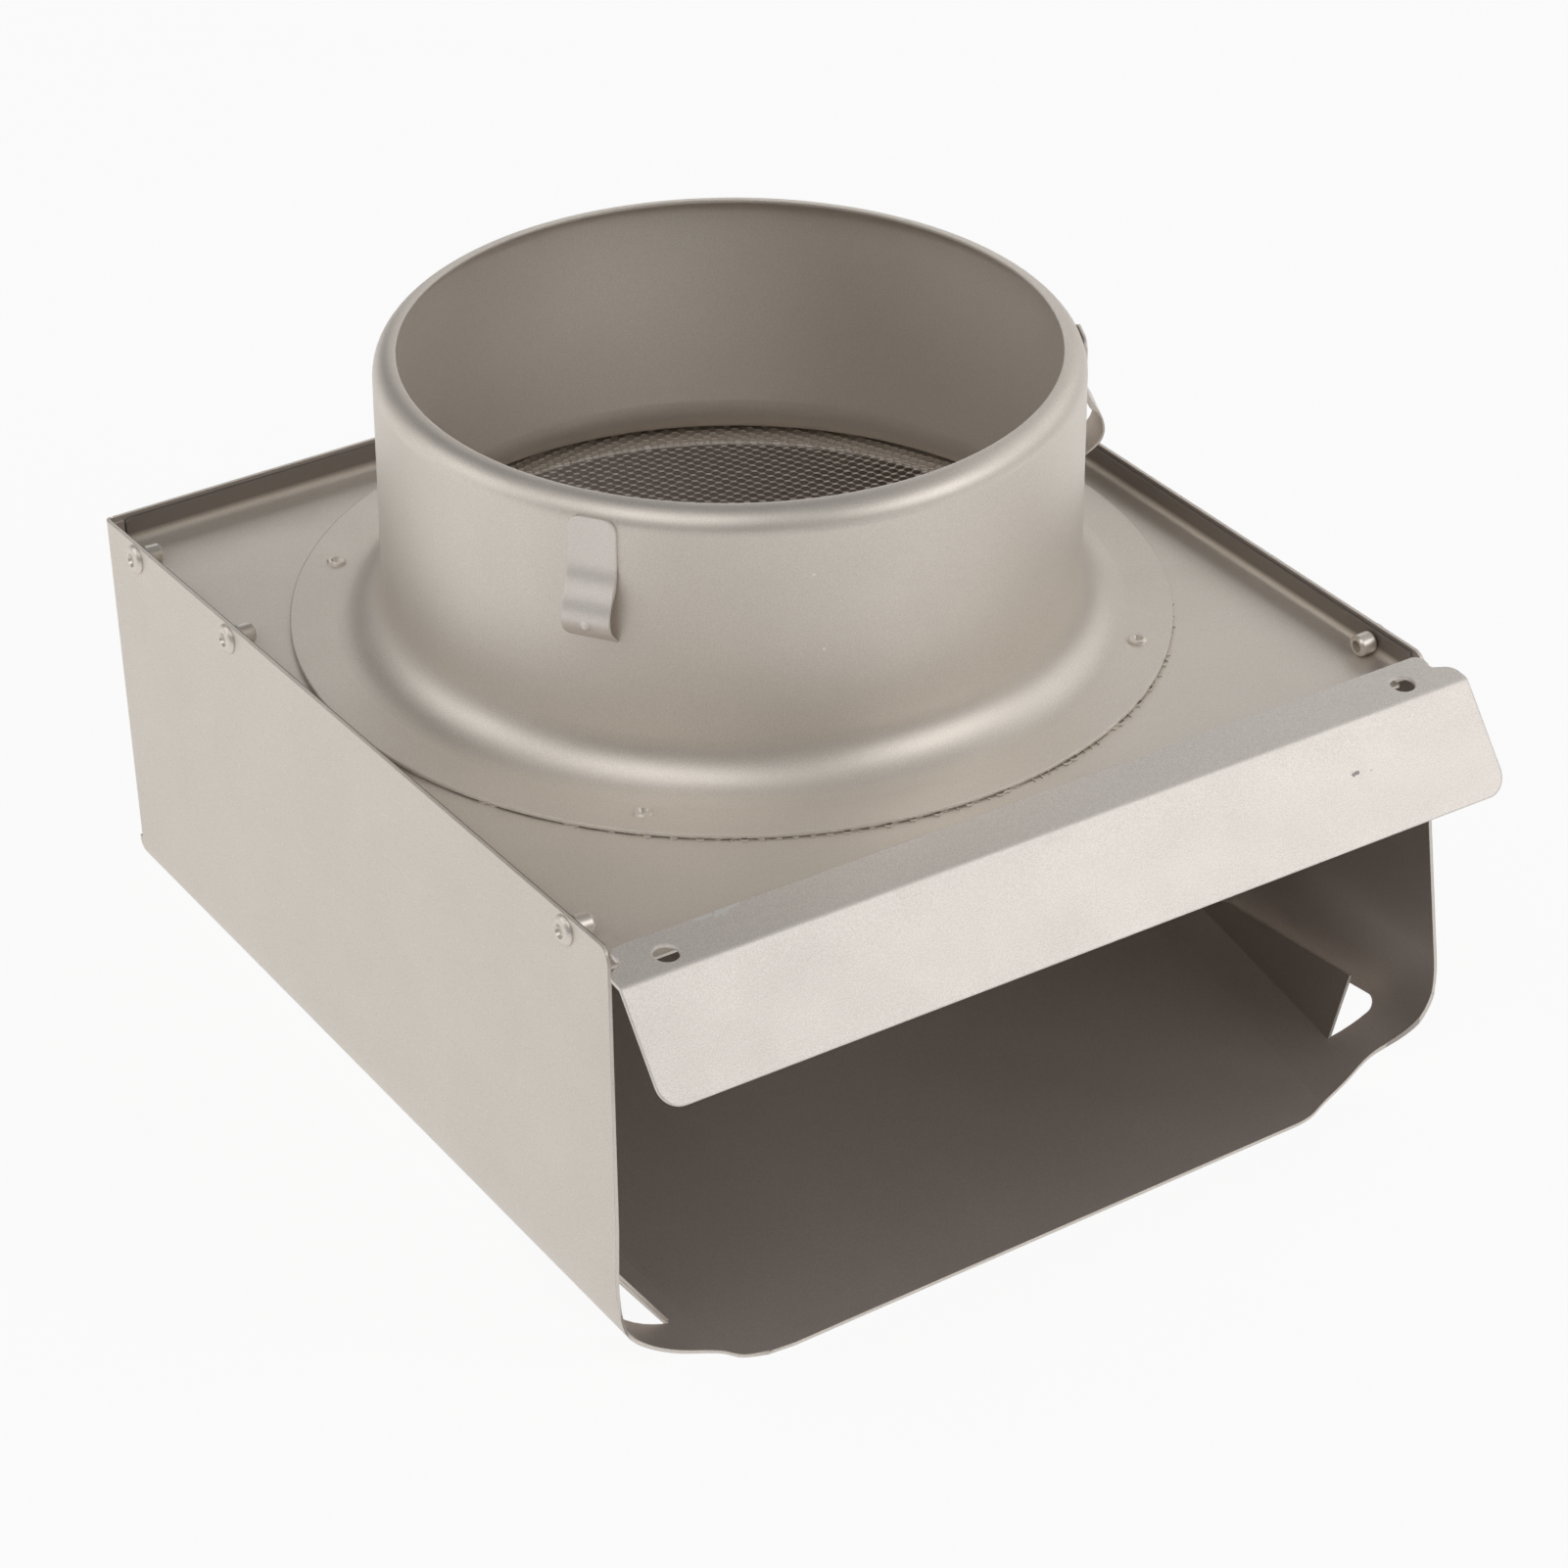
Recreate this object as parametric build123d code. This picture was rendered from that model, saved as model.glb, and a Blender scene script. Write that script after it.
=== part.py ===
"""Wall vent cap: a folded sheet-metal hood with a round duct spigot.

Everything is drawn in the plate frame (origin on the duct axis, on the face of
the back plate that the spigot stands on, Z out of the spigot, the open end of
the hood towards -Y).  At the end every part is turned about X by the slope of
the front panel and lifted, so the cap lies flat on its front panel on z = 0.
"""
import os
from math import atan, cos, degrees, hypot, radians, sin, tan

import numpy as np
from build123d import *

# driving dimensions, mm
SHEET = 0.8                # folded sheet of the hood, plate and drip strip
SPIGOT_R = 74.0            # outside radius of the spigot, for a 150 mm duct
SPIGOT_TOP = 62.3          # top of the rolled rim
RIM_R = 5.0                # outer radius of the rolled-in rim
FLARE_R = 10.0             # concave fillet between spigot and flange
FLANGE_WIDTH = 19.7        # flange beyond the spigot
SCREEN_T = 0.35            # insect screen
SCREEN_WIDTH = 20.2        # screen beyond the spigot
SCREEN_SHIFT = (-0.4, -1.1)  # the screen sits a little off centre
CELL_W, CELL_H = 21.0, 13.6  # diamond openings kept in the CAD screen
STRAND = 1.5
PLATE_HOLE_GAP = 0.3       # plate opening beyond the spigot

HOOD_OFFSET_X = 2.0        # centre of the box from the duct axis
HALF_W = 100.0             # half width at the rim
LEAN = 0.048               # outward lean of the side walls going down
RIM_Z = 6.2                # rim of the hood above the plate face
FAR_Y = 98.3               # far wall at the rim
FAR_SLOPE = 0.18           # the far wall leans in going down
NEAR_Y = -106.3            # near edge of the side walls at the rim
NEAR_SLOPE = 0.093
ELBOW_Z = -75.0            # the walls' near edge runs down to here
TANGENT_Z = -67.2          # where the flat side walls end and the bend begins
PANEL_Z = -97.0            # front panel at y = PANEL_Y
PANEL_Y = -112.0
PANEL_SLOPE = 0.116
FAR_BEND_R = 3.0           # bend between far wall and front panel
TAB_W = 3.0                # returns of the side walls behind the far wall
# near edge of the front panel from the straight lip outwards, the two sides differ
# a little: distance inside HALF_W, y
EDGE_RIGHT = (
    (37.0, -112.6), (31.0, -112.4), (27.7, -111.8), (23.1, -109.9), (19.8, -108.9), (14.0, -107.7),
    (8.0, -107.4), (4.2, -109.6), (1.0, -112.2), (-0.8, -113.4), (-2.3, -113.9), (-3.4, -114.0),
)
EDGE_LEFT = (
    (37.0, -115.4), (31.0, -115.2), (27.7, -114.0), (23.1, -110.6), (19.5, -108.8), (14.5, -107.9),
    (8.5, -107.5), (4.0, -108.3), (1.0, -109.8), (-1.2, -111.6), (-2.6, -112.7), (-3.4, -113.0),
)
LEFT_TRIM = 0.9            # the left wall's near edge runs this much short at its foot

PLATE_FLANGE_Z = 5.5       # top of the plate's three turned-up edges
PLATE_BEND = 1.4           # inside bend radius of those edges
PLATE_NEAR_Y = -104.8
PLATE_NEAR_IN = 5.2        # near corners of the plate inside HALF_W
SIDE_FLANGE_NEAR_Y = -103.0
FAR_FLANGE_IN = 4.1        # ends of the far turned-up edge inside HALF_W

# lanced slots: (y, angle round the bend from the wall) of their corners
SLOT_FAR_Y = -42.0
SLOT_RIGHT = {"upper": (-101.2, 32.0), "hinge": (-96.5, 61.0), "far": 58.0}
SLOT_LEFT = {"upper": (-98.7, 33.0), "hinge": (-98.8, 76.0), "far": 72.0}
SLOT_CORNER_R = 2.5
# strips stood up from the slots: y, tip distance inside HALF_W, tip z
FLAP_RIGHT = ((-96.5, 5.9, -76.9), (-54.0, 6.0, -80.9), (-43.0, 6.3, -84.6))
FLAP_LEFT = ((-98.0, 4.8, -76.2), (-54.0, 6.8, -82.0), (-43.0, 9.3, -86.4))

DRIP_REAR_Y = -104.9
DRIP_FOLD_Y = -116.0
DRIP_LIP_Y, DRIP_LIP_Z = -131.3, -15.2
DRIP_WING = 3.2            # wings beyond the walls
DRIP_NOTCH_Y = -109.3
DRIP_TOP_Z = 5.6           # top face at the rear edge
DRIP_HOLE_IN, DRIP_HOLE_Y, DRIP_HOLE_R = 10.1, -111.3, 2.7

RIVET_Y = (-91.0, 43.0, 84.0)
RIVET_Z = 2.8
RIVET_HEAD_R, RIVET_BODY_R, RIVET_TAIL_R = 3.25, 1.6, 2.35
RIVET_BORE_R, RIVET_TAIL = 1.3, 4.2
FLANGE_RIVET_OUT = 13.0    # ring of flange rivets beyond the spigot
FLANGE_RIVET_ANGLES = (45, 135, -135, -45)
PIN_R = 1.1

CLIP_ANGLES = (-144.7, -24.7, 95.3)
CLIP_W = 10.4
CLIP_T = 0.5
CLIP_TOP, CLIP_FLAT, CLIP_BOW, CLIP_END = 59.3, 49.7, 37.8, 32.3
CLIP_RISE = 4.7            # how far the bow stands off the spigot

# sizes that follow from those
FLANGE_R = SPIGOT_R + FLANGE_WIDTH
SCREEN_R = SPIGOT_R + SCREEN_WIDTH
PLATE_HOLE_R = SPIGOT_R + PLATE_HOLE_GAP
FLANGE_RIVET_R = SPIGOT_R + FLANGE_RIVET_OUT
PLATE_NEAR_HALF = HALF_W - PLATE_NEAR_IN
FAR_FLANGE_HALF = HALF_W - FAR_FLANGE_IN
DRIP_HALF = HALF_W - SHEET
DRIP_WING_HALF = HALF_W + DRIP_WING
DRIP_HOLE_X = HALF_W - DRIP_HOLE_IN
REACH = 1.4 * HALF_W       # cutting solids run past everything
PLANE_DIP = 0.02           # sections dip under the panel, a true plane trims them
slant = atan(PANEL_SLOPE)
screen_top = SCREEN_T


def across(y):
    """Sketch plane across the hood: local x, y are X and Z."""
    return Plane((0, y, 0), x_dir=(1, 0, 0), z_dir=(0, -1, 0))


def along():
    """Sketch plane along the hood: local x, y are Y and Z."""
    return Plane((0, 0, 0), x_dir=(0, 1, 0), z_dir=(1, 0, 0))


def outline(*pieces):
    """Closed face from lines, arcs, splines and polylines in order."""
    return make_face(Wire([edge for piece in pieces for edge in piece.edges()]))


def panel_z(y):
    return PANEL_Z + PANEL_SLOPE * (y - PANEL_Y)


def wall_x(z):
    """Outside half width of the side walls at height z."""
    return HALF_W + LEAN * (RIM_Z - z)


def wall_in(z):
    """Inside half width of the side walls at height z."""
    return wall_x(z) - SHEET * hypot(1, LEAN)


def far_y(z):
    return FAR_Y - FAR_SLOPE * (RIM_Z - z)


def bend(y):
    """Radius and centre of the right lower bend at y, tangent to wall and panel."""
    n = hypot(1, LEAN)
    r = (TANGENT_Z - panel_z(y)) / (1 + LEAN / n)
    return r, wall_x(TANGENT_Z) - r / n, TANGENT_Z - r * LEAN / n


def arc_point(y, angle, inset=0.0):
    """Point on that bend in XZ; the angle grows from the wall to the panel."""
    r, xc, zc = bend(y)
    a = radians(angle)
    return (xc + (r - inset) * cos(a), zc - (r - inset) * sin(a))


def hood_section(y, inset, top):
    """Closed U profile of the hood at y, both halves, as a face in XZ."""
    xw = wall_x(top) - inset * hypot(1, LEAN)
    start = -degrees(atan(LEAN))
    xt, zt = arc_point(y, start, inset)
    xm, zm = arc_point(y, (start + 90) / 2, inset - PLANE_DIP / 2)
    xl, zl = arc_point(y, 90, inset - PLANE_DIP)
    line = [
        Line((-xw, top), (xw, top)),
        Line((xw, top), (xt, zt)),
        ThreePointArc((xt, zt), (xm, zm), (xl, zl)),
        Line((xl, zl), (-xl, zl)),
        ThreePointArc((-xl, zl), (-xm, zm), (-xt, zt)),
        Line((-xt, zt), (-xw, top)),
    ]
    return across(y) * make_face(Wire(line))


def side_profile(inset, near):
    """Side view of the hood as a prism across X; near=True trims the walls."""
    top = RIM_Z + (0.0 if near else 4.0)
    fy = -inset * hypot(1, FAR_SLOPE)
    rise = inset * hypot(1, PANEL_SLOPE)
    slope = np.array([-FAR_SLOPE, -1.0]) / hypot(FAR_SLOPE, 1)
    panel = np.array([-1.0, -PANEL_SLOPE]) / hypot(PANEL_SLOPE, 1)
    # corner of far wall and panel, then the bend between them
    a = np.array([[1.0, -FAR_SLOPE], [-PANEL_SLOPE, 1.0]])
    b = np.array([FAR_Y - FAR_SLOPE * RIM_Z + fy, panel_z(0) + rise])
    corner = np.linalg.solve(a, b)
    r = FAR_BEND_R - inset + SHEET
    turn = np.arccos(np.dot(slope, panel))
    reach = r * tan(turn / 2)
    p1 = corner - slope * reach
    p2 = corner + panel * reach
    bis = (panel - slope) / np.linalg.norm(panel - slope)
    mid = corner + bis * (r / cos(turn / 2)) - bis * r
    far_top = (far_y(top) + fy, top)
    lines = [
        Line(far_top, tuple(p1)),
        ThreePointArc(tuple(p1), tuple(mid), tuple(p2)),
        Line(tuple(p2), (-REACH, panel_z(-REACH) + rise)),
    ]
    if near:
        elbow = (NEAR_Y - NEAR_SLOPE * (RIM_Z - ELBOW_Z), ELBOW_Z)
        k = NEAR_Y - NEAR_SLOPE * 3
        lines.append(Line((-REACH, panel_z(-REACH) + rise), (-REACH, ELBOW_Z)))
        lines.append(Line((-REACH, ELBOW_Z), elbow))
        lines.append(Line(elbow, (k, RIM_Z - 3)))
        lines.append(ThreePointArc((k, RIM_Z - 3), (NEAR_Y + 0.75, RIM_Z - 0.95), (NEAR_Y + 3, RIM_Z)))
        lines.append(Line((NEAR_Y + 3, RIM_Z), far_top))
    else:
        lines.append(Line((-REACH, panel_z(-REACH) + rise), (-REACH, top)))
        lines.append(Line((-REACH, top), far_top))
    return extrude(along() * make_face(Wire(lines)), amount=REACH, both=True)


def hood_block(inset, near):
    top = RIM_Z + (0 if near else 4)
    ends = [hood_section(y, inset, top) for y in (NEAR_Y - 24 - inset, FAR_Y + 12)]
    body = loft(ends, ruled=True)
    return body & side_profile(inset, near)


def near_cutter():
    """Open edge of the front panel in plan, and the left wall's short foot."""
    out = NEAR_Y - 30
    right = [(HALF_W - d, y) for d, y in EDGE_RIGHT]
    left = [(d - HALF_W, y) for d, y in EDGE_LEFT]
    skew = (right[0][1] - left[0][1]) / (right[0][0] - left[0][0])
    lines = [
        Line(left[0], right[0]),
        Spline(right, tangents=[(1, skew), (1, 0)]),
        Line(right[-1], (REACH, right[-1][1])),
        Line((REACH, right[-1][1]), (REACH, out)),
        Line((REACH, out), (-REACH, out)),
        Line((-REACH, out), (-REACH, left[-1][1])),
        Line((-REACH, left[-1][1]), left[-1]),
        Spline(left[::-1], tangents=[(1, 0), (1, skew)]),
    ]
    panel = extrude(Plane((0, 0, ELBOW_Z + 3)) * make_face(Wire(lines)), amount=-40)
    foot = NEAR_Y - NEAR_SLOPE * (RIM_Z - ELBOW_Z)
    trim = make_face(Polyline((NEAR_Y - 3, RIM_Z - 6), (foot + LEFT_TRIM, ELBOW_Z), (foot - 5, ELBOW_Z),
                              (NEAR_Y - 5, RIM_Z - 6), close=True))
    wall = Pos(-HALF_W - 5, 0, 0) * extrude(along() * trim, amount=15, both=True)
    return panel + wall


def slot_cutter(slot):
    """Lanced slot in the right lower bend, closing to nothing away from the mouth."""
    (y1, a1), (y2, a2) = slot["upper"], slot["hinge"]
    a3 = slot["far"]
    face_on = (a1 + a2) / 2
    x0, z0 = arc_point(y1, face_on)
    up = (sin(radians(face_on)), cos(radians(face_on)))
    normal = (cos(radians(face_on)), 0, -sin(radians(face_on)))

    def flat(y, angle):
        x, z = arc_point(y, angle, SHEET / 2)
        return (y, (x - x0) * up[0] + (z - z0) * up[1])

    corners = [flat(y1, a1), flat(y2, a2), flat(SLOT_FAR_Y, a3), flat(SLOT_FAR_Y, a3 - 2)]
    face = make_face(Polyline(*corners, close=True))
    face = fillet(face.vertices().sort_by_distance((*corners[0], 0))[0], SLOT_CORNER_R)
    return extrude(Plane((x0, 0, z0), x_dir=(0, 1, 0), z_dir=normal) * face, amount=6, both=True)


def flap(slot, tips):
    """The strip lanced out of the slot, stood up inside the hood."""
    ends = []
    y1, a1 = slot["hinge"]
    for y, inside, z in tips:
        hinge = a1 + (slot["far"] - a1) * (y - y1) / (SLOT_FAR_Y - y1)
        base = np.array(arc_point(y, hinge + 1.2, 0.45))
        tip = np.array((HALF_W - inside, z))
        d = tip - base
        n = np.array([-d[1], d[0]]) / np.linalg.norm(d) * SHEET / 2
        pts = [tuple(base - n), tuple(base + n), tuple(tip + n), tuple(tip - n)]
        ends.append(across(y) * make_face(Polyline(*pts, close=True)))
    return loft(ends, ruled=True)


def corner_groove():
    """Rounds the fold of the side wall and leaves the seam of the far wall."""
    d = Vector(LEAN, -FAR_SLOPE, -1)
    r = 1.3
    top = (HALF_W - LEAN * 2, FAR_Y + FAR_SLOPE * 2)
    sk = Rectangle(4, 4).moved(Location((top[0] - r + 2, top[1] - r + 2)))
    sk = sk - Circle(r).moved(Location((top[0] - r, top[1] - r)))
    seam = Rectangle(0.35, 1.2).moved(Location((top[0] - 1.7, top[1])))
    body = extrude(Plane((0, 0, RIM_Z + 2)) * (sk + seam), amount=76, dir=d.normalized())
    return body


def far_tab():
    """Narrow return of the side wall, lying behind the far wall."""
    z0, z1 = RIM_Z - 1.0, TANGENT_Z + 4
    pts = []
    for z in (z0, z1):
        xi = wall_in(z)
        yi = far_y(z) - SHEET
        pts.append([(xi + 0.3, yi + 0.3, z), (xi - TAB_W, yi + 0.3, z), (xi - TAB_W, yi - SHEET, z),
                    (xi + 0.3, yi - SHEET, z)])
    ends = [Face(Wire(Polyline(*p, close=True))) for p in pts]
    return loft(ends, ruled=True)


def make_hood():
    shell = hood_block(0.0, True) - hood_block(SHEET, False) - near_cutter()
    for slot, tips, left in ((SLOT_RIGHT, FLAP_RIGHT, False), (SLOT_LEFT, FLAP_LEFT, True)):
        parts = [slot_cutter(slot), corner_groove(), flap(slot, tips), far_tab()]
        if left:
            parts = [mirror(p, about=Plane.YZ) for p in parts]
        opening, groove, leaf, tab = parts
        shell = shell - opening - groove
        shell = shell + leaf + tab
    return shell


def rivet_places(side):
    """Rivet frames on one side wall: origin on the wall, Z pointing outwards."""
    out = []
    n = Vector(side, 0, LEAN).normalized()
    for y in RIVET_Y:
        p = (side * wall_x(RIVET_Z), y, RIVET_Z)
        out.append(Plane(p, x_dir=(0, side, 0), z_dir=n))
    return out


def tray_section(outer):
    """Section of a turned-up edge; outer(z) is its outside face at height z."""
    m = outer(0) - outer(1)
    g = SHEET * (1 + m * m) ** 0.5
    zt, zb = PLATE_FLANGE_Z, -SHEET
    inside, outside = (outer(0) - g, 0), (outer(zb), zb)
    start = 0.6 * HALF_W
    sketch = make_face(Polyline((start, 0), inside, (outer(zt) - g, zt), (outer(zt), zt), outside, (start, zb),
                                close=True))
    corner = sketch.vertices().sort_by_distance((*inside, 0))[0]
    sketch = fillet(corner, PLATE_BEND)
    corner = sketch.vertices().sort_by_distance((*outside, 0))[0]
    return fillet(corner, PLATE_BEND + SHEET)


def make_plate():
    """Back plate: a tray with three turned-up edges and a round opening."""
    far_edge = lambda z: far_y(z) - SHEET * hypot(1, FAR_SLOPE)
    side_end = FAR_Y - 6.0
    side = extrude(across(0) * tray_section(wall_in), amount=REACH)
    side = side + extrude(across(0) * tray_section(wall_in), amount=-side_end)
    far = extrude(along() * tray_section(far_edge), amount=FAR_FLANGE_HALF, both=True)
    middle = Pos(0, (side_end - REACH) / 2, -SHEET / 2) * Box(1.4 * HALF_W, side_end + REACH, SHEET)
    tray = side + mirror(side, about=Plane.YZ) + far + middle
    for s in (1, -1):
        top = (s * FAR_FLANGE_HALF, far_edge(PLATE_FLANGE_Z) - SHEET / 2, PLATE_FLANGE_Z)
        tray = fillet(tray.edges().sort_by_distance(top)[0], 1.5)
        tray = tray - Pos(s * (PLATE_NEAR_HALF + 5), SIDE_FLANGE_NEAR_Y - REACH / 2, 0) * Box(10, REACH, 30)
    tray = tray - Pos(0, PLATE_NEAR_Y - REACH / 2, 0) * Box(2 * REACH, REACH, 30)
    return tray - Pos(-HOOD_OFFSET_X, 0, 0) * Cylinder(PLATE_HOLE_R, 10)


def make_collar():
    """Spigot, rolled rim and flange in one revolved sheet."""
    t = SHEET
    z0 = screen_top
    r_in = SPIGOT_R - t
    zf = z0 + t
    top = SPIGOT_TOP
    fl = FLARE_R
    outer = [
        Line((FLANGE_R, z0), (SPIGOT_R + fl, z0)),
        ThreePointArc((SPIGOT_R + fl, z0), (r_in + (fl + t) * 0.293, z0 + (fl + t) * 0.293),
                      (r_in, z0 + fl + t)),
        Line((r_in, z0 + fl + t), (r_in, top - RIM_R)),
        ThreePointArc((r_in, top - RIM_R), (SPIGOT_R - RIM_R + (RIM_R - t) * 0.707, top - RIM_R * 0.293 - t * 0.707),
                      (SPIGOT_R - RIM_R, top - t)),
        Line((SPIGOT_R - RIM_R, top - t), (SPIGOT_R - RIM_R, top)),
        ThreePointArc((SPIGOT_R - RIM_R, top), (SPIGOT_R - RIM_R * 0.293, top - RIM_R * 0.293),
                      (SPIGOT_R, top - RIM_R)),
        Line((SPIGOT_R, top - RIM_R), (SPIGOT_R, zf + fl)),
        ThreePointArc((SPIGOT_R, zf + fl), (SPIGOT_R + fl * 0.293, zf + fl * 0.293), (SPIGOT_R + fl, zf)),
        Line((SPIGOT_R + fl, zf), (FLANGE_R, zf)),
        Line((FLANGE_R, zf), (FLANGE_R, z0)),
    ]
    face = make_face(Wire(outer))
    return revolve(Plane.XZ * face, axis=Axis.Z)


def make_screen():
    """Flattened expanded sheet with large diamond openings."""
    disc = extrude(Circle(SCREEN_R), amount=SCREEN_T)
    cuts = []
    rows = int(PLATE_HOLE_R // (CELL_H / 2)) + 1
    w, h = CELL_W / 2 - STRAND * 0.9, CELL_H / 2 - STRAND * 0.62
    for j in range(-rows, rows + 1):
        for i in range(-5, 6):
            x = (i + 0.5 * (j % 2)) * CELL_W
            y = j * CELL_H / 2
            if (x * x + y * y) ** 0.5 + 6.5 < PLATE_HOLE_R:
                cuts.append(Pos(x, y) * make_face(Polyline((w, 0), (0, h), (-w, 0), (0, -h), close=True)))
    print("screen openings", len(cuts))
    disc = disc - extrude(Sketch() + cuts, amount=SCREEN_T)
    return disc.moved(Location((SCREEN_SHIFT[0], SCREEN_SHIFT[1], 0)))


def make_drip():
    """Drip strip: sloped flange with wings round the wall ends, lip folded down."""
    s = PANEL_SLOPE
    n = (1 + s * s) ** 0.5
    zr = DRIP_TOP_Z
    fold_z = zr - s * (DRIP_REAR_Y - DRIP_FOLD_Y)
    lip = np.array([DRIP_LIP_Y - DRIP_FOLD_Y, DRIP_LIP_Z - fold_z])
    lip_u = lip / np.linalg.norm(lip)
    # centre line of the side view, thickened below
    top = [(DRIP_REAR_Y, zr), (DRIP_FOLD_Y, fold_z), (DRIP_LIP_Y, DRIP_LIP_Z)]
    nf = np.array([s, -1.0]) / n
    nl = np.array([-lip_u[1], lip_u[0]])
    nl = nl if nl[1] < 0 else -nl
    bis = (nf + nl) / np.linalg.norm(nf + nl)
    off = SHEET / float(np.dot(bis, nf))
    pts = top + [
        tuple(np.array(top[2]) + nl * SHEET),
        tuple(np.array(top[1]) + bis * off),
        tuple(np.array(top[0]) + nf * SHEET),
    ]
    face = make_face(Polyline(*pts, close=True))
    body = extrude(along() * face, amount=DRIP_WING_HALF, both=True)
    folds = body.edges().filter_by(Axis.X)
    outer_fold = folds.sort_by_distance((0, top[1][0], top[1][1]))[0]
    body = fillet(outer_fold, 1.6)
    folds = body.edges().filter_by(Axis.X)
    inner_fold = folds.sort_by_distance((0, pts[4][0], pts[4][1]))[0]
    body = fillet(inner_fold, 0.8)
    # notches that let the ends of the side walls in, following their lean
    lo, hi = -6.0, 12.0
    wall = make_face(Polyline((wall_in(hi), hi), (REACH, hi), (REACH, lo), (wall_in(lo), lo), close=True))
    slab = extrude(across(DRIP_NOTCH_Y) * wall, amount=-12)
    wedge = make_face(Polyline(
        (DRIP_HALF - 0.5, DRIP_NOTCH_Y + 1), (REACH, DRIP_NOTCH_Y + 1), (REACH, DRIP_NOTCH_Y - 3.2),
        (DRIP_WING_HALF, DRIP_NOTCH_Y - 2.2), (DRIP_HALF, DRIP_NOTCH_Y - 0.4), close=True))
    slab = slab + extrude(wedge, amount=15, both=True)
    for k in (False, True):
        body = body - (mirror(slab, about=Plane.YZ) if k else slab)
        x = -1 if k else 1
        hole_z = zr - s * (DRIP_REAR_Y - DRIP_HOLE_Y)
        square_on = Pos(x * DRIP_HOLE_X, DRIP_HOLE_Y, hole_z) * Rot(degrees(slant), 0, 0)
        body = body - square_on * Cylinder(DRIP_HOLE_R, 10)
        wing_z = zr - s * (DRIP_REAR_Y - DRIP_NOTCH_Y + 2.2)
        for spot, r in (((x * DRIP_HALF, DRIP_REAR_Y, zr - 0.4), 2.0),
                        ((x * DRIP_WING_HALF, DRIP_NOTCH_Y - 2.2, wing_z - 0.4), 3.0),
                        ((x * DRIP_WING_HALF, DRIP_LIP_Y, DRIP_LIP_Z - 0.3), 5.0)):
            body = fillet(body.edges().sort_by_distance(spot)[0], r)
    return body


def make_rivet():
    """Blind rivet on a wall: ringed head outside (Z out), hollow tail inside."""
    under = -2 * SHEET
    end = under - RIVET_TAIL
    head, body, tail, bore = RIVET_HEAD_R, RIVET_BODY_R, RIVET_TAIL_R, RIVET_BORE_R
    line = [
        Polyline((0, 0.5), (1.15, 0.5), (1.5, 1.15), (1.9, 1.15)),
        ThreePointArc((1.9, 1.15), (0.83 * head, 0.85), (head, 0.3)),
        Polyline((head, 0.3), (head, 0), (body, 0), (body, under), (body + 0.4, under - 0.3),
                 (tail, under - 0.8), (tail, end + 0.5), (tail - 0.35, end), (bore, end), (bore, end + 2),
                 (0, end + 2), (0, 0.5)),
    ]
    return revolve(Plane.XZ * outline(*line), axis=Axis.Z)


def make_flange_rivet():
    """Ring-headed rivet through flange, screen and plate, dimpled middle."""
    zf = screen_top + SHEET
    pts = [(0.0, zf - 0.5), (0.7, zf - 0.5), (1.2, zf + 0.55), (1.7, zf + 0.6), (2.1, zf + 0.3), (2.1, zf),
           (PIN_R, zf), (PIN_R, -SHEET), (2.2, -SHEET), (2.2, -SHEET - 0.7), (1.6, -SHEET - 1.0),
           (0.0, -SHEET - 1.0)]
    return revolve(Plane.XZ * make_face(Polyline(*pts, close=True)), axis=Axis.Z)


def make_clip():
    """Leaf spring: welded at the top, bowed out, free end on the spigot."""
    r, t = SPIGOT_R, CLIP_T
    out = r + CLIP_RISE
    outer = [(r + t, CLIP_FLAT), (out - 0.8, CLIP_BOW + 3.9), (out, CLIP_BOW), (out - 1.3, CLIP_BOW - 3.0),
             (r + t, CLIP_END)]
    inner = [(r - 0.1, CLIP_END), (out - t - 1.2, CLIP_BOW - 2.7), (out - t, CLIP_BOW),
             (out - t - 0.75, CLIP_BOW + 3.7), (r - 0.1, CLIP_FLAT - 0.3)]
    lines = [
        Line((r + t, CLIP_TOP), outer[0]),
        Spline(outer, tangents=[(0.05, -1), (-0.75, -0.65)]),
        Line(outer[-1], inner[0]),
        Spline(inner, tangents=[(0.75, 0.65), (-0.1, 1)]),
        Polyline(inner[-1], (r - t, CLIP_FLAT), (r - t, CLIP_TOP), (r + t, CLIP_TOP)),
    ]
    body = extrude(Plane.XZ * outline(*lines), amount=CLIP_W / 2, both=True)
    for side in (1, -1):
        body = fillet(body.edges().sort_by_distance((r, side * CLIP_W / 2, CLIP_TOP))[0], 3.0)
    # a small round dimple pressed out of the bow
    body = body + Pos(out + 0.1, 0, CLIP_BOW - 0.6) * Rot(0, 90, 0) * Cone(1.3, 0.6, 1.0)
    return body - Rot(0, 0, 90) * Cylinder(SPIGOT_R, 200)


def settle(part, shift=(0, 0)):
    """From the plate frame to the frame the cap is handed in: flat on z = 0."""
    lift = -(PANEL_Z - PANEL_SLOPE * PANEL_Y) * cos(slant)
    return Pos(*shift, lift) * Rot(-degrees(slant), 0, 0) * part


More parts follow.
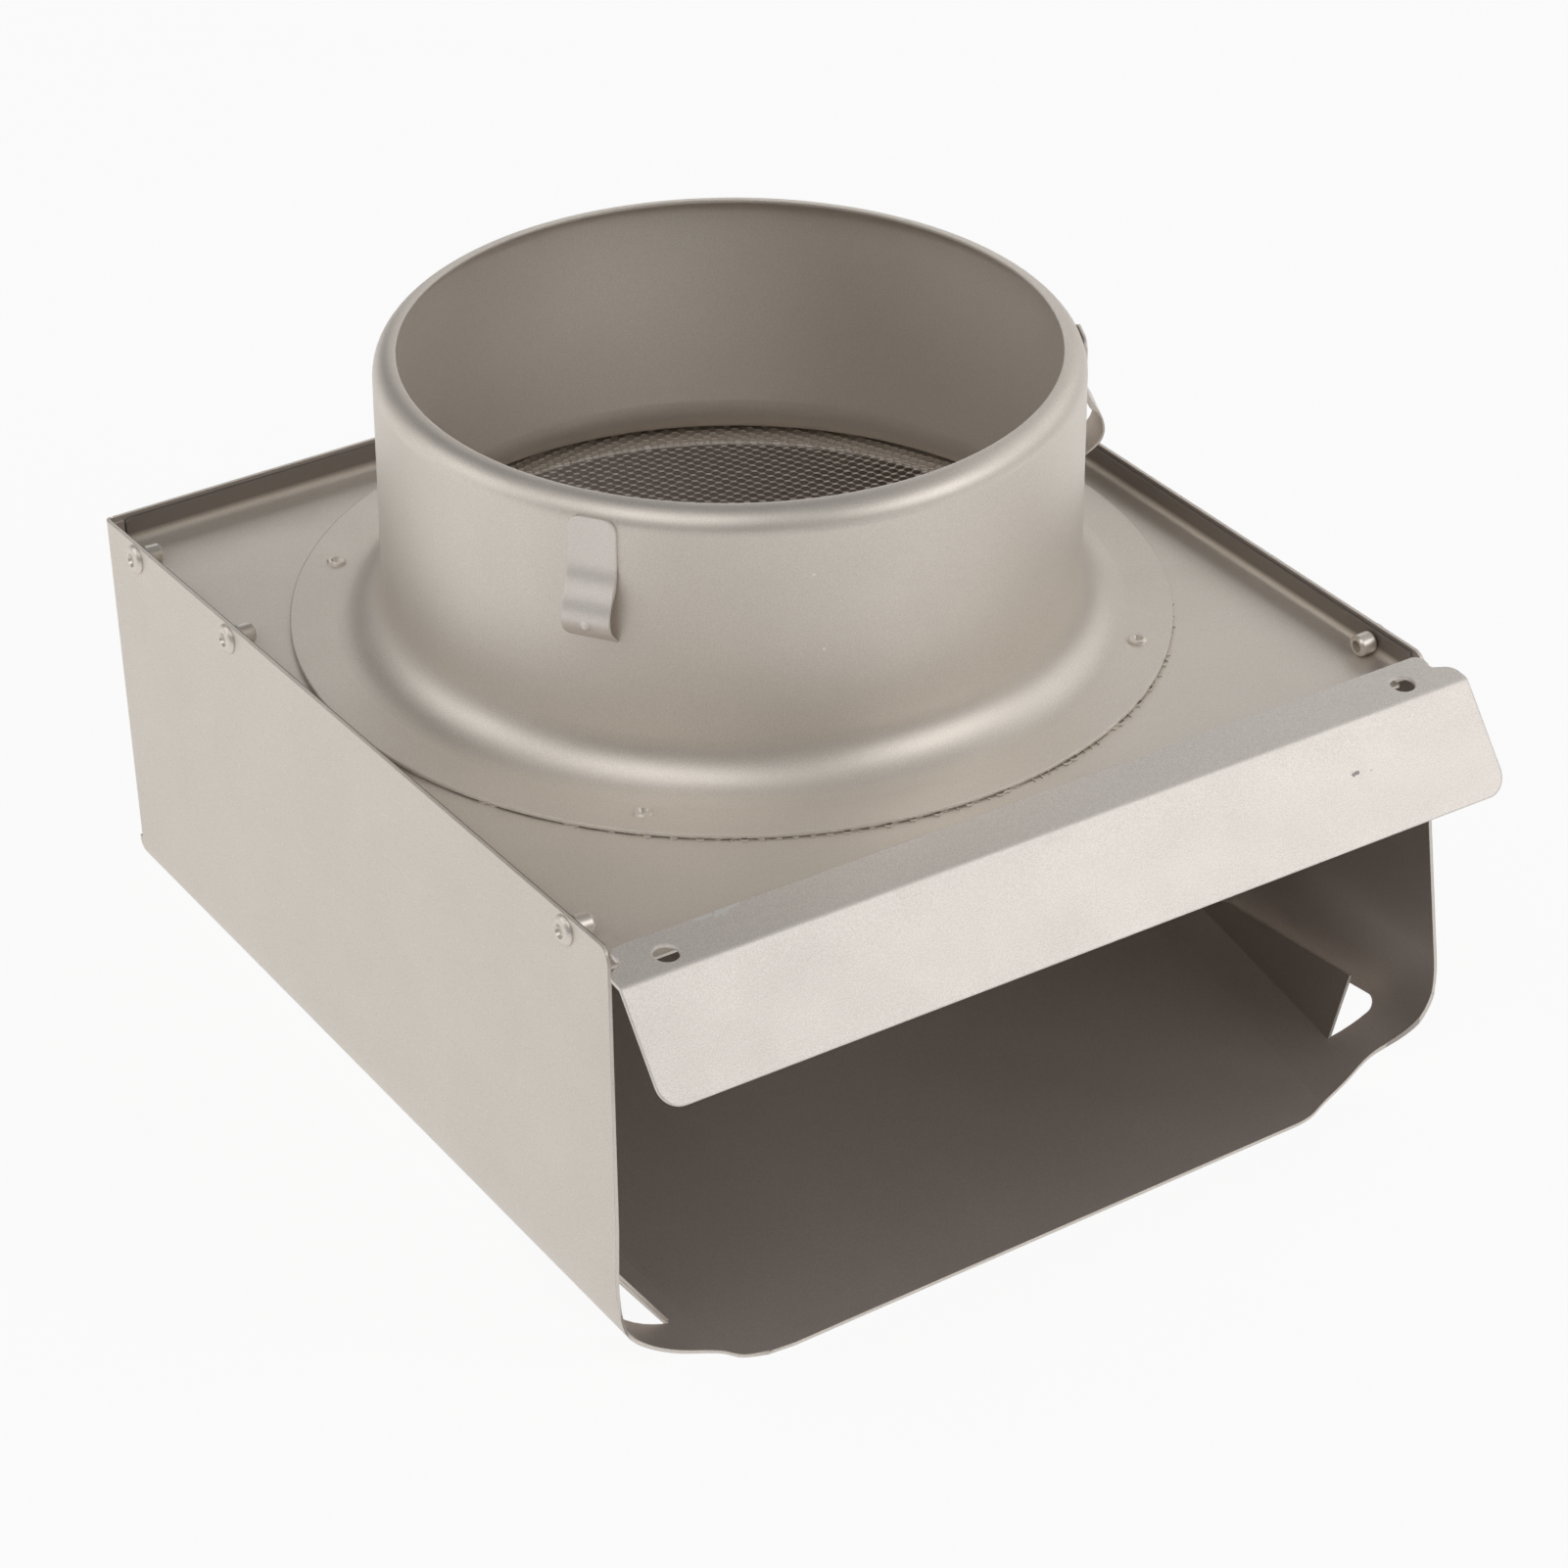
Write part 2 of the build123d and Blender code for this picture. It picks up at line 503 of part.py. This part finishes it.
def main():
    os.makedirs("parts", exist_ok=True)
    hood_at = Pos(HOOD_OFFSET_X, 0, 0)
    nodes = {}
    hood = make_hood()
    plate = make_plate()
    drip = make_drip()
    collar = make_collar()
    screen = make_screen()
    rivet = make_rivet()
    for side, name in ((-1, "left"), (1, "right")):
        for k, place in enumerate(rivet_places(side), 1):
            hole = place * Cylinder(RIVET_BODY_R, 8)
            hood = hood - hole
            plate = plate - hole
            nodes[f"rivet_{name}_{k}"] = hood_at * (place.location * rivet)
    pin = make_flange_rivet()
    for k, a in enumerate(FLANGE_RIVET_ANGLES, 1):
        at = Pos(FLANGE_RIVET_R * cos(radians(a)), FLANGE_RIVET_R * sin(radians(a)), 0)
        nodes[f"flange_rivet_{k}"] = at * pin
        collar = collar - at * Cylinder(PIN_R, 20)
        screen = screen - at * Cylinder(PIN_R, 20)
        plate = plate - Pos(-HOOD_OFFSET_X, 0, 0) * at * Cylinder(PIN_R, 20)
    nodes["hood_shell"] = hood_at * hood
    nodes["back_plate"] = hood_at * plate
    nodes["drip_strip"] = hood_at * drip
    nodes["spigot"] = collar
    nodes["screen"] = screen
    clip = make_clip()
    for k, a in enumerate(CLIP_ANGLES, 1):
        nodes[f"spring_clip_{k}"] = Rot(0, 0, a) * clip
    # the origin is the middle of the whole cap's footprint
    box = Compound(children=[settle(p) for p in nodes.values()]).bounding_box()
    shift = (round(-(box.min.X + box.max.X) / 2, 3), round(-(box.min.Y + box.max.Y) / 2, 3))
    print("origin shift", shift)
    for name, part in nodes.items():
        part = settle(part, shift)
        export_step(part, f"parts/{name}.step")
        b = part.bounding_box()
        print(name, len(part.solids()), round(part.volume, 1), [round(v, 2) for v in (*b.min, *b.max)])


main()
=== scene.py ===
"""Looks of the wall vent cap: metallic paint, expanded-metal screen, wear, light and camera."""
import math

import bmesh
import bpy
from mathutils import Matrix, Vector


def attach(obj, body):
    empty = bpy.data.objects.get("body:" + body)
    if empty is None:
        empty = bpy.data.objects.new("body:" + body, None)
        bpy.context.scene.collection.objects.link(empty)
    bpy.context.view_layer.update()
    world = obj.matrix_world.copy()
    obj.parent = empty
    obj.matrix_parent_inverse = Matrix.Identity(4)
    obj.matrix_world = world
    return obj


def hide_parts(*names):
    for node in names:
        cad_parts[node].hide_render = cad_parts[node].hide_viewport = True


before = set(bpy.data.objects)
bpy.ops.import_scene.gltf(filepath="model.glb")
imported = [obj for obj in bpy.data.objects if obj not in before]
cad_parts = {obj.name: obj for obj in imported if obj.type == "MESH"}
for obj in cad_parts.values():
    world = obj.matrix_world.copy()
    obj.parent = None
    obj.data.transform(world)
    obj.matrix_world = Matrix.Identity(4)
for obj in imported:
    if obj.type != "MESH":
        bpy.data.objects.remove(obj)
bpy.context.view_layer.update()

# Places on the part are in the back plate's own frame, in mm: its face is z = 0, the duct's axis is
# +Z and the open end of the hood lies towards -Y. plate_to_row takes them to the row's frame.
MM = 0.001
SLANT = math.atan(0.116)          # the front panel's slope against the back plate
ORIGIN = Vector((-2.0, 16.909, 83.448)) * MM   # duct axis at the back plate's face
plate_to_row = Matrix.Translation(ORIGIN) @ Matrix.Rotation(-SLANT, 4, "X")
to_plate = plate_to_row.inverted()

# noises of the paint: scale per metre, detail, roughness
CLOUD = (30.0, 3.0, 0.5)          # wide, faint changes of colour
FLAKES = (4200.0, 1.0, 0.4)
SMEAR = (70.0, 5.0, 0.6)          # changes of gloss
PEEL = (900.0, 2.0, 0.5)          # orange peel
WAVE = (26.0, 2.0, 0.5)           # waviness of the sheet
RAGGED = (900.0, 2.0, 0.6)        # outline of a mark
NOISE_MIDDLE = 0.5

# what a noise's value does
CLOUD_STOPS = ((0.3, 0.98), (0.7, 1.02))                  # share of the paint's colour
FLAKE_STOPS = ((0.35, 0.72), (0.5, 1.0), (0.68, 1.45))    # share of the paint's colour
GLOSS_STOPS = ((0.3, -0.02), (0.7, 0.02))                 # change of roughness
FLAKE_SHARE = 0.22
RAGGED_REACH = 2.8                # in half sizes of the mark
PEEL_BUMP = (0.07, 0.0002)        # strength, depth in m
WAVE_BUMP = (0.03, 0.004)

# paint
METAL = 0.70
PAINT = (0.78, 0.718, 0.648)
# a darker copy of the hood's paint for its inward faces: painted shade inside the hood
PAINTED_INNER_SHADE = (0.50, 0.445, 0.41)
STRIP_PAINT = (0.85, 0.79, 0.735)
SPRING_PAINT = (0.82, 0.755, 0.70)
SCREEN_PAINT = (0.74, 0.68, 0.62)
# lighter tone at sharp edges: partly paint wear, partly a painted highlight where the edges catch light
EDGE_WEAR_AND_HIGHLIGHT = (0.86, 0.82, 0.77)
# dark tone for painted shade on the plate's turned-up edges
TURNED_UP_SHADE = (0.30, 0.265, 0.24)
TURNED_UP = (1.0, 2.2)            # heights over the plate where painted shade on its turned-up edges begins and is full

# sharp edges
EDGE_SOFT = 0.0005                # m
EDGE_SAMPLES = 6
EDGE_STOPS = ((0.80, 1.0), (0.97, 0.0))   # cosine between soft and true normal, share of wear and painted highlight
EDGE_SHARE = 0.5

# marks on the paint: centre, half sizes, colour
FLAKE_LIGHT = (0.90, 0.88, 0.85)
# dark tone for a painted shadow in a gap on the wall, and for a small dark spot on the plate
GAP_SHADOW_AND_DARK_SPOT = (0.16, 0.14, 0.13)
SCRATCH = (0.34, 0.31, 0.29)
DRIP_MARKS = (
    ((-75.6, -105.6, 5.6), (2.6, 0.45, 1.5), FLAKE_LIGHT),
    ((-71.9, -105.9, 5.6), (1.9, 1.0, 1.5), FLAKE_LIGHT),
    ((-68.9, -105.3, 5.6), (1.7, 0.5, 1.5), FLAKE_LIGHT),
    ((-94.5, -112.8, 5.4), (0.45, 0.6, 0.8), FLAKE_LIGHT),
    ((91.6, -114.6, 5.4), (0.35, 0.9, 0.8), FLAKE_LIGHT),
    ((93.6, -115.3, 5.2), (1.3, 0.25, 0.8), FLAKE_LIGHT),
    ((70.9, -122.6, -3.8), (0.8, 0.45, 0.5), SCRATCH),
    ((75.0, -122.9, -4.2), (3.6, 0.14, 0.18), SCRATCH),
    ((71.0, -121.1, -1.8), (1.7, 0.12, 0.15), SCRATCH),
    ((85.4, -122.5, -3.7), (1.4, 0.10, 0.13), SCRATCH),
)
PLATE_MARKS = (((-95.6, -99.1, 1.0), (0.45, 0.45, 0.45), GAP_SHADOW_AND_DARK_SPOT),)
# painted shadow: a dark line on the right wall's inner face at the near end of the plate's side flange
WALL_GAP_SHADOW = (((99.2, -103.7, 4.6), (0.9, 0.3, 2.4), GAP_SHADOW_AND_DARK_SPOT),)
SPIGOT_MARKS = (
    ((-46.3, -57.1, 62.6), (0.5, 0.5, 0.4), FLAKE_LIGHT),
    ((-25.9, -69.3, 48.0), (0.3, 0.4, 0.3), FLAKE_LIGHT),
    ((-23.9, -70.0, 30.9), (0.3, 0.4, 0.3), FLAKE_LIGHT),
)

# hood: the box that holds the points of the burr, where they go, and what counts as inside
BURR_MIN, BURR_MAX = Vector((-76.0, -116.0, 0)), Vector((-66.45, -114.85, -90.0))
BURR_END = Vector((-67.4, -114.95))
MERGE_M = 1e-5
CAVITY_HALF_LENGTH, CAVITY_HEIGHT = 60.0, -45.0   # the line that inner faces look at
INWARD = 0.15

# expanded metal of the screen, mm and degrees
LONG_WAY, SHORT_WAY = 3.41, 2.80  # one opening
STRAND_WIDTH, STRAND_THICK = 0.35, 0.23
STRAND_TILT = -26.0
BOND_SHARE = 0.30                 # half length of a bond, as a share of half an opening
BOND_OVERLAP = 0.42               # as a share of the strand's width
SCREEN_TURN = -25.9
SCREEN_PLACE = Vector((0.0, -1.5, 0.175))
SCREEN_R = 93.3
SCREEN_OPEN_R = 76.0              # beyond it the strands are pressed flat
PRESSED_THICK = 0.26

# floor and light, m
FLOOR_HALF, FLOOR_DROP = 6.0, 0.0002
FLOOR_WHITE, FLOOR_ROUGH, FLOOR_SHINE = 0.86, 0.9, 0.1
FLOOR_GLOW = 0.92                 # share of white light that the background gives
WORLD_COLOUR, WORLD_LIGHT = (1.0, 0.99, 0.98), 0.05
LAMPS = (                         # name, place, aim, size, watts
    ("left_high", (-0.75, -0.30, 1.20), (0, 0, 0.10), (0.9, 0.9), 5.6),
    ("left_far", (-1.10, 0.70, 0.60), (0, 0, 0.10), (1.0, 0.8), 4.1),
    ("right", (1.20, 0.10, 0.80), (0, 0, 0.10), (1.2, 1.0), 4.2),
    ("right_far", (0.75, 1.25, 0.62), (0, 0, 0.10), (1.2, 0.7), 3.0),
    ("front", (0.62, -0.90, 0.85), (0, -0.08, 0.09), (0.9, 0.7), 5.3),
)

# camera in the plate's frame, degrees and mm
CAM_AZIMUTH, CAM_ELEVATION, CAM_ROLL = -33.75, 31.65, -0.06
CAM_SIDE, CAM_UP, CAM_DISTANCE = 11.09, -38.03, 1111.86
LENS_MM, SENSOR_MM = 119.95, 36.0
CLIP_NEAR, CLIP_FAR = 0.05, 50    # m

# inputs and output of a colour mix node
MIX_SHARE, MIX_A, MIX_B, MIX_COLOUR = 0, 6, 7, 2


def grey(v):
    return (v, v, v)


def opaque(colour):
    return (*colour, 1)


def tinted(colour, stops):
    """Stops of a ramp: the colour times each stop's share."""
    return [(at, tuple(min(1.0, c * share) for c in colour)) for at, share in stops]


def add_object(name, data):
    obj = bpy.data.objects.new(name, data)
    bpy.context.scene.collection.objects.link(obj)
    return obj


def assign(obj, mat):
    obj.data.materials.clear()
    obj.data.materials.append(mat)


# materials

class Nodes:
    """A short way to write a material's node tree."""

    def __init__(self, name):
        self.mat = bpy.data.materials.new(name)
        self.mat.use_nodes = True
        self.tree = self.mat.node_tree
        self.bsdf = self.tree.nodes["Principled BSDF"]

    def add(self, kind, **values):
        """A node, with values for its inputs or its own settings."""
        node = self.tree.nodes.new(kind)
        for key, value in values.items():
            if key in node.inputs.keys():
                node.inputs[key].default_value = value
            else:
                setattr(node, key, value)
        return node

    def link(self, output, socket):
        self.tree.links.new(output, socket)

    def feed(self, socket, value):
        """Give an input another node's output, a colour, a vector or a number."""
        if isinstance(value, bpy.types.NodeSocket):
            self.link(value, socket)
        else:
            socket.default_value = opaque(value) if isinstance(value, tuple) else value

    def position(self):
        return self.add("ShaderNodeNewGeometry").outputs["Position"]

    def noise(self, scale, detail, rough):
        n = self.add("ShaderNodeTexNoise", Scale=scale, Detail=detail, Roughness=rough)
        self.link(self.position(), n.inputs["Vector"])
        return n.outputs["Fac"]

    def ramp(self, value, stops):
        """A colour for each value; stops are pairs of value and colour, in rising order."""
        r = self.add("ShaderNodeValToRGB")
        points = r.color_ramp.elements
        for point, (at, colour) in ((points[0], stops[0]), (points[1], stops[-1])):
            point.position, point.color = at, opaque(colour)
        for at, colour in stops[1:-1]:
            points.new(at).color = opaque(colour)
        self.link(value, r.inputs["Fac"])
        return r.outputs["Color"]

    def math(self, op, a, b):
        m = self.add("ShaderNodeMath", operation=op)
        self.feed(m.inputs[0], a)
        self.feed(m.inputs[1], b)
        return m.outputs[0]

    def vector(self, op, *values):
        m = self.add("ShaderNodeVectorMath", operation=op)
        for socket, value in zip(m.inputs, values):
            self.feed(socket, value)
        return m.outputs["Value" if op in ("DOT_PRODUCT", "LENGTH") else "Vector"]

    def mix(self, share, a, b):
        """Colour a, turning to b as share goes from 0 to 1."""
        m = self.add("ShaderNodeMix", data_type="RGBA")
        for k, value in ((MIX_SHARE, share), (MIX_A, a), (MIX_B, b)):
            self.feed(m.inputs[k], value)
        return m.outputs[MIX_COLOUR]

    def bump(self, height, strength, depth, normal=None):
        b = self.add("ShaderNodeBump", Strength=strength, Distance=depth)
        self.link(height, b.inputs["Height"])
        if normal is not None:
            self.link(normal, b.inputs["Normal"])
        return b.outputs["Normal"]


def soft_edges_with_wear_and_highlight(n):
    """Rounded normal near sharp edges, and a mask of how near an edge is."""
    soft = n.add("ShaderNodeBevel", samples=EDGE_SAMPLES, Radius=EDGE_SOFT).outputs["Normal"]
    true = n.add("ShaderNodeNewGeometry").outputs["Normal"]
    near = [(at, grey(wear)) for at, wear in EDGE_STOPS]
    return soft, n.ramp(n.vector("DOT_PRODUCT", soft, true), near)


def patch(n, centre, size):
    """1 inside a ragged ellipsoid; its centre is in the plate's frame, its axes are the row's."""
    away = n.vector("SUBTRACT", n.position(), plate_to_row @ (Vector(centre) * MM))
    far = n.vector("LENGTH", n.vector("DIVIDE", away, Vector(size) * MM))
    rough = n.math("MULTIPLY", n.math("SUBTRACT", n.noise(*RAGGED), NOISE_MIDDLE), RAGGED_REACH)
    return n.math("LESS_THAN", n.math("ADD", far, rough), 1.0)


def above(n, low, high):
    """0 up to the height low over the back plate, 1 from the height high."""
    axis = plate_to_row.to_3x3() @ Vector((0, 0, 1))
    height = n.vector("DOT_PRODUCT", n.position(), axis / MM)
    part = n.math("DIVIDE", n.math("SUBTRACT", height, axis.dot(ORIGIN) / MM + low), high - low)
    return n.math("MINIMUM", n.math("MAXIMUM", part, 0.0), 1.0)


def metallic_paint(name, colour, rough=0.50, flake=1.0, wear_and_highlight_edges=True, marks=(), turned_up=None):
    """Champagne metallic paint with fine flakes, uneven gloss, slight orange peel and waviness.

    The edge flag lightens the sharp edges, partly as wear and partly as a painted highlight, and rounds
    them, marks are patches of another colour, and turned_up is the pair of heights over the plate
    between which painted shade darkens the paint.
    """
    n = Nodes(name)
    base = n.ramp(n.noise(*CLOUD), tinted(colour, CLOUD_STOPS))
    flakes = n.ramp(n.noise(*FLAKES), tinted(colour, FLAKE_STOPS))
    base = n.mix(FLAKE_SHARE * flake, base, flakes)
    normal = None
    if wear_and_highlight_edges:
        normal, near_edge = soft_edges_with_wear_and_highlight(n)
        # edges lightened: partly wear, partly a painted highlight
        base = n.mix(n.math("MULTIPLY", near_edge, EDGE_SHARE), base, EDGE_WEAR_AND_HIGHLIGHT)
    # painted shade: the plate's turned-up edges grow darker with height
    if turned_up:
        base = n.mix(above(n, *turned_up), base, TURNED_UP_SHADE)
    for centre, size, tint in marks:
        base = n.mix(patch(n, centre, size), base, tint)
    gloss = [(at, grey(rough + change)) for at, change in GLOSS_STOPS]
    normal = n.bump(n.noise(*PEEL), *PEEL_BUMP, normal)
    normal = n.bump(n.noise(*WAVE), *WAVE_BUMP, normal)
    n.link(base, n.bsdf.inputs["Base Color"])
    n.bsdf.inputs["Metallic"].default_value = METAL
    n.link(n.ramp(n.noise(*SMEAR), gloss), n.bsdf.inputs["Roughness"])
    n.link(normal, n.bsdf.inputs["Normal"])
    return n.mat


hood_paint = metallic_paint("hood_paint", PAINT)
# painted shade: the hood's inward faces get this darker copy of the paint
inner_shade_paint = metallic_paint("inner_shade_paint", PAINTED_INNER_SHADE, rough=0.52, wear_and_highlight_edges=False, marks=WALL_GAP_SHADOW)
# the plate's turned-up edges get painted shade
plate_paint = metallic_paint("plate_paint", PAINT, marks=PLATE_MARKS, turned_up=TURNED_UP)
spigot_paint = metallic_paint("spigot_paint", PAINT, marks=SPIGOT_MARKS)
strip_paint = metallic_paint("strip_paint", STRIP_PAINT, rough=0.55, flake=1.6, marks=DRIP_MARKS)
rivet_paint = metallic_paint("rivet_paint", PAINT, rough=0.42, wear_and_highlight_edges=False)
spring_paint = metallic_paint("spring_paint", SPRING_PAINT)
screen_paint = metallic_paint("screen_paint", SCREEN_PAINT, rough=0.34, wear_and_highlight_edges=False)

looks = {
    "hood_shell": hood_paint,
    "back_plate": plate_paint,
    "spigot": spigot_paint,
    "drip_strip": strip_paint,
    "screen": screen_paint,
}
for name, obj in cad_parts.items():
    if name.startswith("spring_clip"):
        assign(obj, spring_paint)
    elif "rivet" in name:
        assign(obj, rivet_paint)
    else:
        assign(obj, looks[name])


# hood

def is_burr(q):
    return BURR_MIN.x < q.x < BURR_MAX.x and BURR_MIN.y < q.y < BURR_MAX.y and q.z < BURR_MAX.z


def looks_inward(face):
    c = to_plate @ face.center / MM
    along = max(-CAVITY_HALF_LENGTH, min(CAVITY_HALF_LENGTH, c.y))
    middle = Vector((0, along, CAVITY_HEIGHT))
    return (to_plate.to_3x3() @ face.normal).dot((middle - c).normalized()) > INWARD


def hood_sheet():
    """The hood without the thin burr at the left end of its near edge, with painted shade inside: its
    inward faces take a darker copy of the paint.
    """
    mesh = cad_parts["hood_shell"].data.copy()
    mesh.name = "hood_sheet"
    bm = bmesh.new()
    bm.from_mesh(mesh)
    burr = []
    for v in bm.verts:
        q = to_plate @ v.co / MM
        if is_burr(q):
            lift = math.tan(SLANT) * (BURR_END.y - q.y)
            v.co = plate_to_row @ (Vector((BURR_END.x, BURR_END.y, q.z + lift)) * MM)
            burr.append(v)
    edges = list({e for v in burr for e in v.link_edges})
    bmesh.ops.dissolve_degenerate(bm, dist=MERGE_M, edges=edges)
    bm.to_mesh(mesh)
    bm.free()
    obj = add_object("hood_sheet", mesh)
    assign(obj, hood_paint)
    mesh.materials.append(inner_shade_paint)
    # faces that look inward take the darker copy: painted shade
    for face in mesh.polygons:
        face.material_index = 1 if looks_inward(face) else 0
    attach(obj, "root")
    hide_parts("hood_shell")


hood_sheet()


# screen

def strand_section(p, turn):
    """Corners of a strand's cross-section round the point p, in the row's frame."""
    is_open = p.length < SCREEN_OPEN_R
    tilt = math.radians(STRAND_TILT) if is_open else 0.0
    thick = STRAND_THICK if is_open else PRESSED_THICK
    across = turn @ Vector((0, math.cos(tilt), 0)) + Vector((0, 0, math.sin(tilt)))
    over = turn @ Vector((0, -math.sin(tilt), 0)) + Vector((0, 0, math.cos(tilt)))
    for a, b in ((-1, -1), (1, -1), (1, 1), (-1, 1)):
        q = p + across * (a * STRAND_WIDTH / 2) + over * (b * thick / 2)
        yield plate_to_row @ ((q + SCREEN_PLACE) * MM)


def expanded_metal():
    """Zigzag strands that meet side by side at their bonds, cut to a disc."""
    bm = bmesh.new()
    turn = Matrix.Rotation(math.radians(SCREEN_TURN), 4, "Z")
    half_l, half_s = LONG_WAY / 2, SHORT_WAY / 2
    bond = BOND_SHARE * half_l
    swing = half_s / 2 - STRAND_WIDTH * BOND_OVERLAP
    rows = int(SCREEN_R / half_s) + 2
    cols = int(SCREEN_R / half_l) + 2
    for row in range(-rows, rows + 1):
        last = None
        for col in range(-cols, cols + 1):
            up = 1 if (col + row) % 2 else -1
            for end in (-1, 1):
                p = turn @ Vector((col * half_l + end * bond, (row + 0.5) * half_s + up * swing, 0))
                if p.length > SCREEN_R:
                    last = None
                    continue
                ring = [bm.verts.new(corner) for corner in strand_section(p, turn)]
                if last:
                    for k in range(4):
                        j = (k + 1) % 4
                        bm.faces.new((last[k], last[j], ring[j], ring[k]))
                else:
                    bm.faces.new(ring[::-1])
                last = ring
    mesh = bpy.data.meshes.new("screen_strands")
    bm.to_mesh(mesh)
    bm.free()
    obj = add_object("screen_strands", mesh)
    assign(obj, screen_paint)
    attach(obj, "root")
    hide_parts("screen")


expanded_metal()


# floor, light and camera

def area_light(name, place, aim, size, watts):
    data = bpy.data.lights.new(name, "AREA")
    data.shape = "RECTANGLE"
    data.size, data.size_y = size
    data.energy = watts
    obj = add_object(name, data)
    obj.location = place
    obj.rotation_euler = (Vector(aim) - Vector(place)).to_track_quat("-Z", "Y").to_euler()


def shows_background(n):
    """1 for rays that should meet the white background: seen, mirrored or through."""
    ray = n.add("ShaderNodeLightPath").outputs
    seen = n.math("MAXIMUM", ray["Is Camera Ray"], ray["Is Glossy Ray"])
    return n.math("MAXIMUM", seen, ray["Is Transmission Ray"])


def make_floor():
    """A pale floor that shines white for the rays that should meet the background."""
    mesh = bpy.data.meshes.new("floor")
    s = FLOOR_HALF
    mesh.from_pydata([(-s, -s, 0), (s, -s, 0), (s, s, 0), (-s, s, 0)], [], [(0, 1, 2, 3)])
    obj = add_object("floor", mesh)
    obj.location.z = -FLOOR_DROP
    n = Nodes("floor")
    n.feed(n.bsdf.inputs["Base Color"], grey(FLOOR_WHITE))
    n.bsdf.inputs["Roughness"].default_value = FLOOR_ROUGH
    n.bsdf.inputs["Specular IOR Level"].default_value = FLOOR_SHINE
    glow = n.add("ShaderNodeEmission", Strength=1.0)
    both = n.add("ShaderNodeMixShader")
    n.link(n.math("MULTIPLY", shows_background(n), FLOOR_GLOW), both.inputs[0])
    n.link(n.bsdf.outputs[0], both.inputs[1])
    n.link(glow.outputs[0], both.inputs[2])
    n.link(both.outputs[0], n.tree.nodes["Material Output"].inputs["Surface"])
    assign(obj, n.mat)


def make_world():
    """A dim, even studio above the white floor, which fills the picture."""
    world = bpy.data.worlds.new("studio")
    world.use_nodes = True
    back = world.node_tree.nodes["Background"]
    back.inputs["Color"].default_value = opaque(WORLD_COLOUR)
    back.inputs["Strength"].default_value = WORLD_LIGHT
    bpy.context.scene.world = world


def make_camera():
    """The photo's camera, as solved on the rim, the flange, the walls and the rivets."""
    az, el, roll = (math.radians(v) for v in (CAM_AZIMUTH, CAM_ELEVATION, CAM_ROLL))
    back = Vector((math.sin(az) * math.cos(el), -math.cos(az) * math.cos(el), math.sin(el)))
    right = Vector((0, 0, 1)).cross(back).normalized()
    up = back.cross(right)
    c, s = math.cos(roll), math.sin(roll)
    right, up = right * c + up * s, up * c - right * s
    pose = Matrix((right, up, back)).transposed().to_4x4()
    pose.translation = (right * CAM_SIDE + up * CAM_UP + back * CAM_DISTANCE) * MM
    data = bpy.data.cameras.new("camera")
    data.lens, data.sensor_width = LENS_MM, SENSOR_MM
    data.clip_start, data.clip_end = CLIP_NEAR, CLIP_FAR
    cam = add_object("camera", data)
    cam.matrix_world = plate_to_row @ pose
    bpy.context.scene.camera = cam


make_floor()
make_world()
for lamp in LAMPS:
    area_light(*lamp)
make_camera()
bpy.context.scene.view_settings.view_transform = "Standard"
